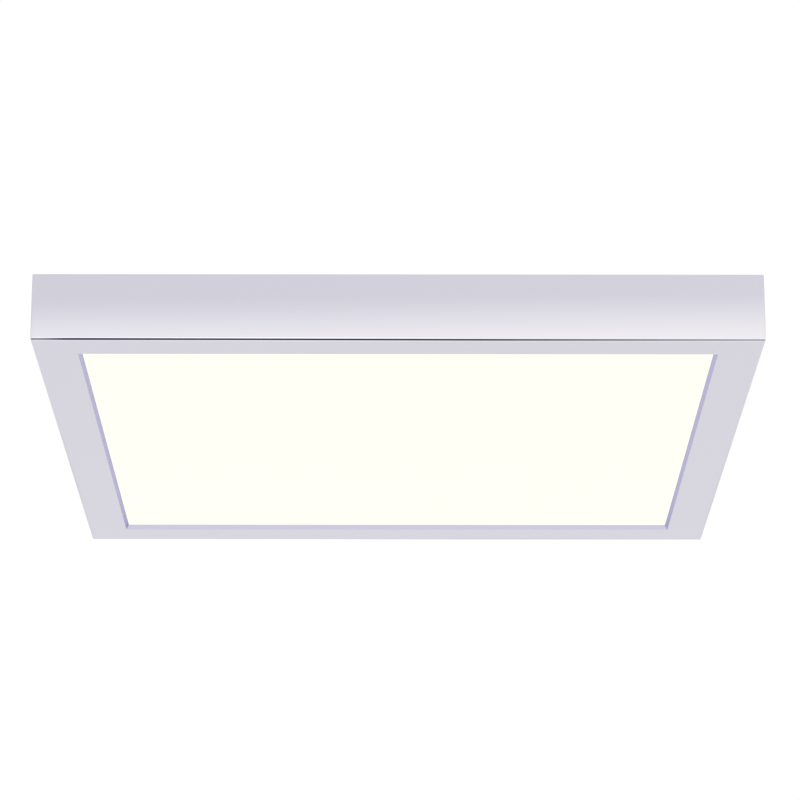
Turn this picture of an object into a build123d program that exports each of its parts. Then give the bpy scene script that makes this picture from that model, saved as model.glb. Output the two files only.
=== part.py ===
from build123d import *
import os
from math import atan2, cos, degrees, radians, tan

# A square, edge-lit LED ceiling light that mounts flush under a junction box.
# The origin is the centre of the ceiling plane, +Z is up, and the light hangs below z = 0.
# The front is -Y and the right is +X. All lengths are in millimetres.
# A pressed mounting bracket stays on the ceiling. The light itself is pushed up onto it, and two leaf
# springs snap into the bracket's windows. Pulled down, the light comes off again.

# ------------------------------------------------------------------ driving dimensions

# bezel: one folded sheet-metal frame, its wall and border in one piece
frame_side = 381.0
frame_height = 36.0
frame_sheet = 1.0
frame_bend = 1.0          # outside radius of the fold between wall and border
frame_corner = 1.5        # outside radius of the four upright corners
border_width = 23.0       # flat border, from the outside to the light opening
lip_run = 1.6             # the return round the opening slants inwards by this much
lip_rise = 2.6            # and stands this high
lip_sheet = 1.2           # its thickness, measured level

# optical stack, from the room side upwards
diffuser_thickness = 2.0
guide_thickness = 3.0
guide_bevel = 0.15
film_thickness = 0.3
film_notch = 3.0          # radius of the locating notches in the film's edge
foam_thickness = 2.0
foam_width = 22.0
foam_end_margin = 11.9    # the strips end this far short of the sheets' edges
foam_side_margin = 39.9   # and the outermost two lie this far in from them
foam_front_step = 62.0    # from the front strip to the next one
foam_back_step = 70.0     # from the back strip to the one before it
stack_margin = 6.0        # the sheets reach this far past the visible opening
stack_corner = 1.0

# LED boards on the left and right edges of the light guide
led_gap = 0.3             # air between the guide's edge and the LED faces
led_depth = 0.8
led_length = 3.5
led_width = 2.8
led_rim = 0.4
led_window_depth = 0.25
led_pitch = 9.2
led_end_margin = 10.5     # no LED is centred nearer to the guide's corner than this
board_thickness = 1.0
board_width = 6.0
board_short = 3.0         # the boards end this far short of the rails at the front
board_tail = 7.6          # and reach this far past them at the back
tape_thickness = 0.2

# aluminium rails that carry the boards and hold the pan down
rail_block = 7.0
rail_foot = 7.0
rail_foot_thickness = 1.6
rail_fillet = 0.5
slot_width = 2.5          # groove that the pan screws cut their thread in
slot_depth = 5.5
slot_inset = 3.6          # from the rail's inner face to the groove's middle
spacer_gap = 0.3

# studs welded on the border, with their nuts
stud_radius = 1.45
stud_height = 6.0
stud_tip = 0.3
stud_flange_radius = 1.6
stud_flange = 0.8
stud_end_margin = 51.9    # from the rail's end to its outer studs
stud_hole_play = 0.3
nut_flats = 5.5
nut_height = 2.4
nut_play = 0.05

# back pan
pan_sheet = 0.8
pan_gap = 1.1             # between the pan's rim and the bezel's wall
pan_rim_height = 7.0
pan_corner = 3.0          # the flanges stop this far short of its corners, which stay open
bead_width = 14.0
bead_height = 2.0
bead_slope = 40.0         # degrees from upright
bead_end_margin = 63.4    # from the pan's left and right edges to the beads' ends
bead_front_margin = 34.4  # from its front edge to the first bead's middle
bead_step = 44.0          # from there to the second
bead_back_margin = 36.4   # from its back edge to the last bead's middle

# pan-head screws, their threads left out
screw_play = 0.05         # between a shank and the hole or groove it cuts into
screw_head_radius = 2.8
screw_head_height = 1.9
screw_reach = 4.5         # into the groove
screw_hole_radius = 1.6
recess_width = 0.7
recess_length = 2.8
recess_depth = 0.9
screw_end_margin = 31.9   # from the rail's end to its outer screws

# mounting bracket
bracket_end_gap = 17.8    # from the bracket's end out to the line of the pan's screws
bracket_width = 64.0
bracket_sheet = 1.5
bracket_depth = 7.0       # height of its stiffening edge
bracket_corner = 5.0
tab_cheek = 6.0           # beside each window
tab_bridge = 4.0          # below each window
tab_corner = 3.0
wire_hole_radius = 15.0
box_slot_spacing = 79.4   # box screws from 60 to 98 mm apart
box_slot_length = 24.0
box_slot_radius = 2.4
ceiling_spacing_x = 240.0
ceiling_spacing_y = 40.0
ceiling_hole_radius = 2.5
rib_length = 56.0
rib_width = 10.0
rib_height = 1.2
rib_place = 85.0
ground_place = (74.0, 19.0)
ground_pad_radius = 6.4
ground_pad_depth = 2.4
form_slope = 40.0         # degrees from upright, on the ribs and the ground screw's pad
ground_screw_radius = 1.9
ground_head_radius = 3.4
ground_head_height = 2.4
ground_tip_depth = 0.4    # below the ceiling

# leaf springs on the pan that snap into the bracket's windows
spring_sheet = 0.5
spring_width = 18.0
spring_foot_margin = 7.0  # past the screws' line
spring_screw_spacing = 9.0
spring_gap = 3.6          # from the bracket's end to the upright part
spring_bite = 2.4         # the nose reaches this far in past the bracket's end
spring_bend = 1.2
spring_nose_depth = 11.0  # below the ceiling
spring_knee_drop = 6.4    # from the nose down to the knee
spring_neck_rise = 5.8    # from the nose up to the neck
spring_tip_out = 1.8
spring_tip_depth = 3.0
spring_play = 0.45        # between the nose's flanks and the window's edges
spring_side_play = 2.0

# LED driver
driver_offset = 4.0       # to the right of the middle
driver_inset = 94.4       # from the pan's back edge to the driver's middle
driver_length = 116.0
driver_width = 44.0
driver_height = 18.5
driver_wall = 1.6
driver_split = 9.0        # height of the base's wall
driver_corner = 3.0
driver_edge = 1.0
driver_ear = 9.0
driver_ear_thickness = 2.4
driver_ear_width = 16.0
driver_screw_reach = 1.2  # below the pan
lap_height = 1.2
lap_wall = 0.9
lap_play = 0.1
vent_count = 8
vent_pitch = 4.5
vent_length = 12.0
vent_width = 1.4
vent_place = 32.0
standoff_radius = 2.5
standoff_height = 2.0
standoff_inset = (14.0, 4.0)
stake_radius = 1.2
stake_play = 0.1
stake_height = 0.6
circuit_thickness = 1.6
circuit_gap = 1.2         # between the circuit board and the base's wall
port_play = 0.2
input_wires = (6.0, 11.0)     # from the driver's middle, towards the back
output_cables = (-5.0, 5.0)
inlet_inset = 0.6         # the inner connectors stand this far in from the board's edge
inlet_length = 7.0
inlet_above_port = 2.4
inlet_wall = 2.0

# pieces on the driver's circuit board
core_size = (20.0, 8.0, 10.4)
core_leg = 6.0
core_window = (5.0, 6.6)
coil_build = 4.6
coil_play = 0.2
coil_corner = 2.0
core_place = -10.0
can_radius = 4.5
can_height = 11.0
can_groove = 0.5
can_places = ((-36.0, -9.0), (32.0, 9.0))
choke_outer = 6.0
choke_inner = 2.4
choke_height = 6.0
choke_place = (-31.0, 6.0)
chip_places = ((14.0, -8.0), (14.0, 2.0), (24.0, -6.0))
chip_size = (6.0, 5.0, 1.6)
sink_size = (16.0, 1.5, 10.0)
sink_place = (14.0, 13.0)

# terminal block, with a release button for each pole
block_inset = (76.4, 110.4)   # from the pan's left and back edges to the block's middle
block_depth = 24.0
block_height = 14.0
block_corner = 1.0
block_floor = 1.6
block_chamber = 7.0
block_front = 3.0         # wall between the wire entries' face and the chambers
block_back = 5.0
partition = 1.6
pole_pitch = 8.4
block_end_wall = 1.9
entry_width = 3.6
entry_height = 3.4
entry_above_pan = 4.0
funnel_depth = 1.6
funnel_slope = 26.0
peg_size = (4.0, 2.0)
peg_play = 0.1
peg_reach = 1.0           # below the pan
button_side = 4.6
button_play = 0.25
button_shoulder = 0.5
button_shoulder_height = 1.2
button_rest_gap = 0.15
button_proud = 1.8
button_travel = 1.5
button_place = -4.0       # from the block's middle towards its wire entries
button_slot = (3.0, 0.9, 1.0)
contact_sheet = 0.5
contact_width = 4.6
contact_play = 0.3
contact_bend = 0.6
contact_clear = 0.35      # under a button that is pressed all the way

# wiring that the pan carries
wire_radius = 1.1
cable_radius = 1.3
cable_hump = 6.2          # above the pan, where a cable turns down through its grommet
line_lead = (14.0, 1.0, 1.0)      # a wire's first bend past the block: to the right, back and up
line_tail = 14.0                  # its straight run into the driver
neutral_lead = (17.0, 2.0, 1.0)
neutral_tail = 16.0
earth_lead = (6.0, 7.0, 1.0)
earth_tail = 6.0
right_bends = ((12.0, 0.0), (28.0, 5.0), (52.0, 27.0))    # from the driver's port: out and back
right_side_bend = (22.2, 31.0)    # in from the grommet, and back from the port
right_last_bend = (12.2, 25.2)    # in from the grommet, both ways
left_bends = ((12.0, 0.0), (24.0, 7.0), (22.0, 25.0), (-2.0, 34.0))
left_drop = 3.0
left_back_runs = (35.0, 34.0, 35.0)    # back from the port, along the driver's back
left_run = 50.0                   # to the left of the driver
left_side_bends = ((28.0, 37.0), (12.0, 56.0))
hump_bend = (10.0, 9.0, 8.0)      # in from the right grommet, from the left one, and in front of both
grommet_radius = 2.7
grommet_collar = 1.4      # stands up round the cable, above the pan
grommet_flange = 0.6      # below the pan
grommet_lip = 1.1
grommet_play = 0.1
connector_size = (4.4, 5.6, 4.2)
connector_edge = 0.4
clip_base = 9.0
clip_base_thickness = 0.9
clip_wall = 0.9
clip_width = 5.0
clip_slit = 1.2
clip_play = 0.2

# protective earth
earth_inset = (38.4, 76.4)    # from the pan's left and back edges
earth_stud_radius = 1.9
earth_stud_height = 7.0
earth_play = 0.1
ring_radius = 4.0
ring_sheet = 0.7
ring_neck = 1.5
ring_neck_width = 3.4
barrel_length = 7.0
barrel_end = 1.0
barrel_wall = 0.8
barrel_play = 0.05
washer_radius = 4.4
washer_sheet = 0.6
earth_nut_flats = 7.0
earth_nut_height = 3.2

# ------------------------------------------------------------------ places worked out from them

frame_half = frame_side / 2
wall_inner = frame_half - frame_sheet
border_top = frame_sheet - frame_height
opening_half = frame_half - border_width
visible_half = opening_half - lip_run
lip_top = lip_rise - frame_height
lip_angle = degrees(atan2(lip_run, lip_rise))

stack_half = visible_half + stack_margin
foam_length = 2 * (stack_half - foam_end_margin)
outer_foam = stack_half - foam_side_margin
foam_places = (-outer_foam, foam_front_step - outer_foam, 0.0, outer_foam - foam_back_step, outer_foam)
guide_bottom = lip_top + diffuser_thickness
guide_top = guide_bottom + guide_thickness
film_top = guide_top + film_thickness
pan_bottom = film_top + foam_thickness
pan_top = pan_bottom + pan_sheet
pan_half = wall_inner - pan_gap
pan_floor = pan_half - pan_sheet
rim_top = pan_bottom + pan_rim_height
bead_length = 2 * (pan_half - bead_end_margin)
bead_places = (
    bead_front_margin - pan_half,
    bead_front_margin + bead_step - pan_half,
    pan_half - bead_back_margin,
)

led_count = int(2 * (stack_half - led_end_margin) / led_pitch) + 1
led_face = stack_half + led_gap
board_face = led_face + led_depth
board_back = board_face + board_thickness
board_middle = (guide_bottom + guide_top) / 2
rail_face = board_back + tape_thickness
rail_edge = rail_face + rail_block
rail_end = rail_edge + rail_foot
slot_line = rail_face + slot_inset
stud_line = rail_edge + rail_foot / 2
outer_stud = stack_half - stud_end_margin
stud_places = (-outer_stud, 0.0, outer_stud)
outer_screw = stack_half - screw_end_margin
side_screw_places = (-outer_screw, outer_screw)      # left and right rails, beside the springs' own
end_screw_places = (-outer_screw, 0.0, outer_screw)  # front and back rails
foot_top = border_top + rail_foot_thickness

bracket_half = slot_line - bracket_end_gap
bracket_length = 2 * bracket_half
spring_stand = bracket_half + spring_gap
spring_nose = bracket_half - spring_bite
nose_reach = spring_stand - spring_nose
window_low = -(spring_nose_depth + spring_bite * spring_knee_drop / nose_reach + spring_play)
window_high = -(spring_nose_depth - spring_bite * spring_neck_rise / nose_reach - spring_play)
window_width = spring_width + 2 * spring_side_play
tab_width = window_width + 2 * tab_cheek
tab_low = window_low - tab_bridge
ground_seat = -(bracket_sheet + ground_pad_depth)

driver_place = (driver_offset, pan_half - driver_inset)
driver_half = driver_length / 2
port_height = pan_top + driver_split
port_depth = driver_wall + lap_play + lap_wall
circuit_bottom = pan_top + driver_wall + standoff_height
circuit_top = circuit_bottom + circuit_thickness
circuit_half = driver_half - driver_wall - circuit_gap
inlet_face = circuit_half - inlet_inset
screw_core = slot_width / 2 - screw_play

block_place = (block_inset[0] - pan_half, pan_half - block_inset[1])
block_width = 3 * pole_pitch + 2 * block_end_wall
pole_places = [block_place[0] + (i - 1) * pole_pitch for i in range(3)]
entry_level = pan_top + entry_above_pan
chamber_low = pan_top + block_floor
chamber_high = chamber_low + block_chamber
chamber_front = block_place[1] - block_depth / 2 + block_front
chamber_back = block_place[1] + block_depth / 2 - block_back
chamber_middle = (chamber_front + chamber_back) / 2
buttons_at = block_place[1] + button_place
button_low = chamber_high - button_rest_gap - button_shoulder_height
contact_back = chamber_back - contact_play

earth_place = (earth_inset[0] - pan_half, pan_half - earth_inset[1])
grommet_line = board_back + connector_size[0] / 2
cable_rise = clip_base_thickness + clip_play + cable_radius
cable_level = pan_top + cable_rise
cable_end = board_middle + connector_size[2] / 2
barrel_level = pan_top + barrel_play + wire_radius + barrel_wall
barrel_start = earth_place[0] + ring_radius + ring_neck

SIDES = {"right": 0, "back": 90, "left": 180, "front": 270}
solids = {}


def level(height, turn=0):
    """A level work plane whose local x runs outwards to the side at that turn about Z."""
    return Plane(origin=(0, 0, height), x_dir=Vector(1, 0, 0).rotate(Axis.Z, turn), z_dir=(0, 0, 1))


def upright(turn=0):
    """The upright plane through the centre, with local x outwards and local y up."""
    outwards = Vector(1, 0, 0).rotate(Axis.Z, turn)
    return Plane(origin=(0, 0, 0), x_dir=outwards, z_dir=outwards.cross(Vector(0, 0, 1)))


def keep(name, part):
    """Labels a finished piece and keeps it for export under that name."""
    part.label = name
    solids[name] = part


def lowest_edges(builder):
    return builder.faces().sort_by(Axis.Z)[0].edges()


def highest_edges(builder):
    return builder.faces().sort_by(Axis.Z)[-1].edges()


def inner_trim(sheet, slope):
    """How much smaller a formed bead's inner outline is than its outer one, all across."""
    return 2 * sheet * (1 / cos(radians(slope)) - tan(radians(slope)))


# ------------------------------------------------------------------ bezel

with BuildPart() as bezel_frame:
    with BuildSketch(Plane.XY.offset(-frame_height)):
        RectangleRounded(frame_side, frame_side, frame_corner)
    extrude(amount=frame_height)
    fillet(lowest_edges(bezel_frame), frame_bend)
    with BuildSketch(Plane.XY.offset(border_top)):
        RectangleRounded(2 * wall_inner, 2 * wall_inner, frame_corner - frame_sheet)
    extrude(amount=frame_height, mode=Mode.SUBTRACT)
    with BuildSketch(Plane.XY.offset(-frame_height)):
        Rectangle(2 * (opening_half + lip_sheet), 2 * (opening_half + lip_sheet))
    extrude(amount=lip_rise, taper=lip_angle)
    with BuildSketch(Plane.XY.offset(-frame_height)):
        Rectangle(2 * opening_half, 2 * opening_half)
    extrude(amount=lip_rise, taper=lip_angle, mode=Mode.SUBTRACT)
keep("bezel_frame", bezel_frame.part)

with BuildPart() as rail_studs:
    for turn in SIDES.values():
        with BuildSketch(level(border_top, turn)):
            with Locations(*[(stud_line, v) for v in stud_places]):
                Circle(stud_radius)
        extrude(amount=stud_height)
    chamfer(rail_studs.edges().group_by(Axis.Z)[-1], stud_tip)
    for turn in SIDES.values():
        with BuildSketch(level(border_top, turn)):
            with Locations(*[(stud_line, v) for v in stud_places]):
                Circle(stud_flange_radius)
        extrude(amount=stud_flange)
keep("rail_studs", rail_studs.part)

# ------------------------------------------------------------------ optical stack

with BuildPart() as diffuser:
    with BuildSketch(Plane.XY.offset(lip_top)):
        RectangleRounded(2 * stack_half, 2 * stack_half, stack_corner)
    extrude(amount=diffuser_thickness)
keep("diffuser", diffuser.part)

with BuildPart() as light_guide:
    with BuildSketch(Plane.XY.offset(guide_bottom)):
        Rectangle(2 * stack_half, 2 * stack_half)
    extrude(amount=guide_thickness)
    chamfer(lowest_edges(light_guide) + highest_edges(light_guide), guide_bevel)
keep("light_guide", light_guide.part)

with BuildPart() as reflector_film:
    with BuildSketch(Plane.XY.offset(guide_top)):
        RectangleRounded(2 * stack_half, 2 * stack_half, stack_corner)
        with Locations((0, stack_half), (0, -stack_half)):
            Circle(film_notch, mode=Mode.SUBTRACT)
    extrude(amount=film_thickness)
keep("reflector_film", reflector_film.part)

with BuildPart() as foam_strips:
    with BuildSketch(Plane.XY.offset(film_top)):
        with Locations(*[(0, y) for y in foam_places]):
            Rectangle(foam_length, foam_width)
    extrude(amount=foam_thickness)
keep("foam_strips", foam_strips.part)

# ------------------------------------------------------------------ rails, boards and LEDs


def make_rail(turn):
    """An extruded rail: a block with a screw groove, and a foot with holes for the studs."""
    with BuildPart() as rail:
        with BuildSketch(upright(turn)) as profile:
            Polygon(
                (rail_face, border_top),
                (rail_end, border_top),
                (rail_end, foot_top),
                (rail_edge, foot_top),
                (rail_edge, pan_bottom),
                (rail_face, pan_bottom),
                align=None,
            )
            fillet(profile.vertices().sort_by_distance((rail_edge, foot_top))[0], rail_fillet)
            with Locations((slot_line, pan_bottom - slot_depth / 2)):
                Rectangle(slot_width, slot_depth, mode=Mode.SUBTRACT)
        extrude(amount=stack_half, both=True)
        with BuildSketch(level(border_top, turn)):
            with Locations(*[(stud_line, v) for v in stud_places]):
                Circle(stud_radius + stud_hole_play)
        extrude(amount=rail_foot_thickness, mode=Mode.SUBTRACT)
    return rail.part


for side, turn in SIDES.items():
    keep(f"rail_{side}", make_rail(turn))

with BuildPart() as rail_nuts:
    for turn in SIDES.values():
        with BuildSketch(level(foot_top, turn)):
            with Locations(*[(stud_line, v) for v in stud_places]):
                RegularPolygon(nut_flats / 2, 6, major_radius=False, rotation=30)
                Circle(stud_radius + nut_play, mode=Mode.SUBTRACT)
        extrude(amount=nut_height)
keep("rail_nuts", rail_nuts.part)

with BuildPart() as guide_spacers:
    spacer_inner = stack_half + spacer_gap
    for turn in (SIDES["back"], SIDES["front"]):
        with BuildSketch(level(lip_top, turn)):
            with Locations(((spacer_inner + rail_face) / 2, 0)):
                Rectangle(rail_face - spacer_inner, 2 * (stack_half - board_short))
        extrude(amount=guide_top - lip_top)
keep("guide_spacers", guide_spacers.part)


def make_strip(turn, inner, outer, back_end):
    """An upright strip along one side, between two distances from the centre."""
    front_end = board_short - stack_half
    back = 1 if turn == SIDES["right"] else -1
    with BuildPart() as strip:
        with BuildSketch(level(board_middle - board_width / 2, turn)):
            with Locations(((inner + outer) / 2, back * (front_end + back_end) / 2)):
                Rectangle(outer - inner, back_end - front_end)
        extrude(amount=board_width)
    return strip.part


def make_leds(turn):
    """The row of LEDs on one board, each with a shallow window in its face."""
    places = [(i - (led_count - 1) / 2) * led_pitch for i in range(led_count)]
    with BuildPart() as leds:
        with BuildSketch(level(board_middle - led_width / 2, turn)):
            with Locations(*[(led_face + led_depth / 2, v) for v in places]):
                Rectangle(led_depth, led_length)
        extrude(amount=led_width)
        with BuildSketch(level(board_middle - led_width / 2 + led_rim, turn)):
            with Locations(*[(led_face + led_window_depth / 2, v) for v in places]):
                Rectangle(led_window_depth, led_length - 2 * led_rim)
        extrude(amount=led_width - 2 * led_rim, mode=Mode.SUBTRACT)
    return leds.part


for side in ("left", "right"):
    turn = SIDES[side]
    keep(f"led_board_{side}", make_strip(turn, board_face, board_back, stack_half + board_tail))
    keep(f"thermal_tape_{side}", make_strip(turn, board_back, rail_face, stack_half - board_short))
    keep(f"leds_{side}", make_leds(turn))

# ------------------------------------------------------------------ back pan

driver_screws_at = [
    (driver_place[0] + s * (driver_half + driver_ear / 2), driver_place[1]) for s in (-1, 1)
]
grommets_at = [(s * grommet_line, grommet_line) for s in (-1, 1)]
pegs_at = [(block_place[0] + s * pole_pitch, block_place[1] + block_depth / 3) for s in (-1, 1)]
spring_screws_at = [(slot_line, s * spring_screw_spacing / 2) for s in (-1, 1)]


def side_screws_at(turn):
    """Where the pan's own screws stand on one side, as (outwards, along)."""
    if turn in (SIDES["left"], SIDES["right"]):
        return [(slot_line, v) for v in side_screw_places]
    return [(slot_line, v) for v in end_screw_places]


with BuildPart() as back_pan:
    with BuildSketch(Plane.XY.offset(pan_bottom)):
        RectangleRounded(2 * pan_floor, 2 * pan_floor, pan_corner - pan_sheet)
    extrude(amount=pan_sheet)
    with BuildSketch(Plane.XY.offset(pan_top)):
        with Locations(*[(0, y) for y in bead_places]):
            SlotOverall(bead_length, bead_width)
    extrude(amount=bead_height, taper=bead_slope)
    bead_trim = inner_trim(pan_sheet, bead_slope)
    with BuildSketch(Plane.XY.offset(pan_bottom)):
        with Locations(*[(0, y) for y in bead_places]):
            SlotOverall(bead_length - bead_trim, bead_width - bead_trim)
    extrude(amount=bead_height, taper=bead_slope, mode=Mode.SUBTRACT)
    for turn in SIDES.values():
        holes = side_screws_at(turn)
        if turn in (SIDES["left"], SIDES["right"]):
            holes = holes + spring_screws_at
        with BuildSketch(level(pan_bottom, turn)):
            with Locations(*holes):
                Circle(screw_hole_radius)
        extrude(amount=pan_sheet, mode=Mode.SUBTRACT)
    with BuildSketch(Plane.XY.offset(pan_bottom)):
        with Locations(*grommets_at):
            Circle(grommet_radius)
        with Locations(*driver_screws_at):
            Circle(screw_core + screw_play)
        with Locations(*pegs_at):
            Rectangle(peg_size[0] + 2 * peg_play, peg_size[1] + 2 * peg_play)
    extrude(amount=pan_sheet, mode=Mode.SUBTRACT)
keep("back_pan", back_pan.part)

# the pan's edges, folded up along its four sides
with BuildPart() as pan_flanges:
    for turn in SIDES.values():
        with BuildSketch(upright(turn)):
            with BuildLine():
                fold = CenterArc((pan_floor, pan_top), pan_sheet, -90, 90)
                Polyline(fold @ 1, (pan_half, rim_top), (pan_floor, rim_top), fold @ 0)
            make_face()
        extrude(amount=pan_half - pan_corner, both=True)
keep("pan_flanges", pan_flanges.part)


def make_screw(core, reach, head_radius, head_height):
    """A pan-head screw with a cross recess. Its head stands on z = 0, and its shank goes down."""
    with BuildPart() as screw:
        with BuildSketch(Plane.XZ):
            Polygon(
                (0, -reach),
                (core * 0.6, -reach),
                (core, -reach + core * 0.4),
                (core, 0),
                (head_radius, 0),
                (head_radius, head_height * 0.45),
                (head_radius * 0.72, head_height),
                (0, head_height),
                align=None,
            )
        revolve(axis=Axis.Z)
        with BuildSketch(Plane.XY.offset(head_height - recess_depth)):
            Rectangle(recess_length, recess_width)
            Rectangle(recess_width, recess_length)
        extrude(amount=recess_depth, mode=Mode.SUBTRACT)
    return screw.part


def place_screws(screw, height, turn, places):
    """Adds a copy of a screw to the open part at each place on one side's level plane."""
    for u, v in places:
        add(screw.moved(level(height, turn).location * Location((u, v, 0))))


pan_screw = make_screw(screw_core, pan_sheet + screw_reach, screw_head_radius, screw_head_height)
with BuildPart() as pan_screws:
    for turn in SIDES.values():
        place_screws(pan_screw, pan_top, turn, side_screws_at(turn))
keep("pan_screws", pan_screws.part)

spring_screw = make_screw(
    screw_core, spring_sheet + pan_sheet + screw_reach, screw_head_radius, screw_head_height
)
with BuildPart() as spring_screws:
    for turn in (SIDES["left"], SIDES["right"]):
        place_screws(spring_screw, pan_top + spring_sheet, turn, spring_screws_at)
keep("spring_screws", spring_screws.part)

# ------------------------------------------------------------------ mounting bracket

with BuildPart() as mounting_bracket:
    with BuildSketch(Plane.XY.offset(-bracket_depth)):
        RectangleRounded(bracket_length, bracket_width, bracket_corner)
    extrude(amount=bracket_depth)
    fillet(highest_edges(mounting_bracket), bracket_sheet)
    with BuildSketch(Plane.XY.offset(-bracket_depth)):
        RectangleRounded(
            bracket_length - 2 * bracket_sheet,
            bracket_width - 2 * bracket_sheet,
            bracket_corner - bracket_sheet,
        )
    extrude(amount=bracket_depth - bracket_sheet, mode=Mode.SUBTRACT)
    for turn in (SIDES["left"], SIDES["right"]):
        with BuildSketch(level(tab_low, turn)):
            with Locations((bracket_half - bracket_sheet / 2, 0)):
                Rectangle(bracket_sheet, tab_width)
        extrude(amount=-tab_low - 2 * bracket_sheet)
    fillet(mounting_bracket.edges().filter_by(Axis.X).group_by(Axis.Z)[0], tab_corner)
    for turn in (SIDES["left"], SIDES["right"]):
        with BuildSketch(level(window_low, turn)):
            with Locations((bracket_half - bracket_sheet / 2, 0)):
                Rectangle(2 * bracket_sheet, window_width)
        extrude(amount=window_high - window_low, mode=Mode.SUBTRACT)
    form_trim = inner_trim(bracket_sheet, form_slope)
    with BuildSketch(Plane.XY.offset(-bracket_sheet)):
        with Locations((rib_place, 0), (-rib_place, 0)):
            SlotOverall(rib_length, rib_width)
    extrude(amount=-rib_height, taper=form_slope)
    with BuildSketch():
        with Locations((rib_place, 0), (-rib_place, 0)):
            SlotOverall(rib_length - form_trim, rib_width - form_trim)
    extrude(amount=-rib_height, taper=form_slope, mode=Mode.SUBTRACT)
    with BuildSketch(Plane.XY.offset(-bracket_sheet)):
        with Locations(ground_place):
            Circle(ground_pad_radius)
    extrude(amount=-ground_pad_depth, taper=form_slope)
    with BuildSketch():
        with Locations(ground_place):
            Circle(ground_pad_radius - form_trim / 2)
    extrude(amount=-ground_pad_depth, taper=form_slope, mode=Mode.SUBTRACT)
    with BuildSketch(Plane.XY.offset(-bracket_sheet)):
        Circle(wire_hole_radius)
        with Locations((box_slot_spacing / 2, 0), (-box_slot_spacing / 2, 0)):
            SlotOverall(box_slot_length, 2 * box_slot_radius)
        with GridLocations(ceiling_spacing_x, ceiling_spacing_y, 2, 2):
            Circle(ceiling_hole_radius)
    extrude(amount=bracket_sheet, mode=Mode.SUBTRACT)
    with BuildSketch(Plane.XY.offset(ground_seat)):
        with Locations(ground_place):
            Circle(ground_screw_radius + screw_play)
    extrude(amount=bracket_sheet, mode=Mode.SUBTRACT)
keep("mounting_bracket", mounting_bracket.part)

ground_screw = make_screw(
    ground_screw_radius, -ground_seat - ground_tip_depth, ground_head_radius, ground_head_height
)
ground_screw = ground_screw.moved(Location((*ground_place, ground_seat), (180, 0, 0)))
keep("bracket_ground_screw", ground_screw)

# ------------------------------------------------------------------ leaf springs


def make_spring(turn):
    """A leaf spring: a screwed foot, an upright with a V-shaped nose, and a flared tip."""
    with BuildPart() as spring:
        with BuildSketch(upright(turn)):
            with BuildLine():
                FilletPolyline(
                    (slot_line + spring_foot_margin, pan_top),
                    (spring_stand, pan_top),
                    (spring_stand, -(spring_nose_depth + spring_knee_drop)),
                    (spring_nose, -spring_nose_depth),
                    (spring_stand, -(spring_nose_depth - spring_neck_rise)),
                    (spring_stand + spring_tip_out, -spring_tip_depth),
                    radius=spring_bend,
                )
                offset(amount=spring_sheet, side=Side.RIGHT, closed=True)
            make_face()
        extrude(amount=spring_width / 2, both=True)
        with BuildSketch(level(pan_top, turn)):
            with Locations(*spring_screws_at):
                Circle(screw_hole_radius)
        extrude(amount=spring_sheet, mode=Mode.SUBTRACT)
    return spring.part


for side in ("left", "right"):
    keep(f"leaf_spring_{side}", make_spring(SIDES[side]))

# ------------------------------------------------------------------ LED driver

# the bores of the wire ports, through both ends of the housing where its halves join
with BuildPart() as port_bores:
    for end, places, bore in ((-1, input_wires, wire_radius), (1, output_cables, cable_radius)):
        with BuildSketch(Plane.YZ.offset(driver_place[0] + end * driver_half)):
            with Locations(*[(driver_place[1] + v, port_height) for v in places]):
                Circle(bore + port_play)
        extrude(amount=-end * port_depth)

standoff_x = circuit_half - standoff_inset[0]
standoff_y = driver_width / 2 - driver_wall - circuit_gap - standoff_inset[1]
standoffs_at = [
    (driver_place[0] + s * standoff_x, driver_place[1] + t * standoff_y) for s in (-1, 1) for t in (-1, 1)
]

with BuildPart() as driver_base:
    with BuildSketch(Plane.XY.offset(pan_top)):
        with Locations(driver_place):
            RectangleRounded(driver_length, driver_width, driver_corner)
    extrude(amount=driver_split)
    with BuildSketch(Plane.XY.offset(pan_top)):
        with Locations(driver_place):
            RectangleRounded(driver_length + 2 * driver_ear, driver_ear_width, driver_corner)
    extrude(amount=driver_ear_thickness)
    with BuildSketch(Plane.XY.offset(pan_top + driver_wall)):
        with Locations(driver_place):
            RectangleRounded(
                driver_length - 2 * driver_wall,
                driver_width - 2 * driver_wall,
                driver_corner - driver_wall,
            )
    extrude(amount=driver_split, mode=Mode.SUBTRACT)
    with BuildSketch(Plane.XY.offset(pan_top + driver_wall)):
        with Locations(*standoffs_at):
            Circle(standoff_radius)
    extrude(amount=standoff_height)
    with BuildSketch(Plane.XY.offset(circuit_bottom)):
        with Locations(*standoffs_at):
            Circle(stake_radius)
    extrude(amount=circuit_thickness + stake_height)
    with BuildSketch(Plane.XY.offset(pan_top)):
        with Locations(*driver_screws_at):
            Circle(screw_hole_radius)
    extrude(amount=driver_ear_thickness, mode=Mode.SUBTRACT)
    add(port_bores.part, mode=Mode.SUBTRACT)
keep("driver_base", driver_base.part)

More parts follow.
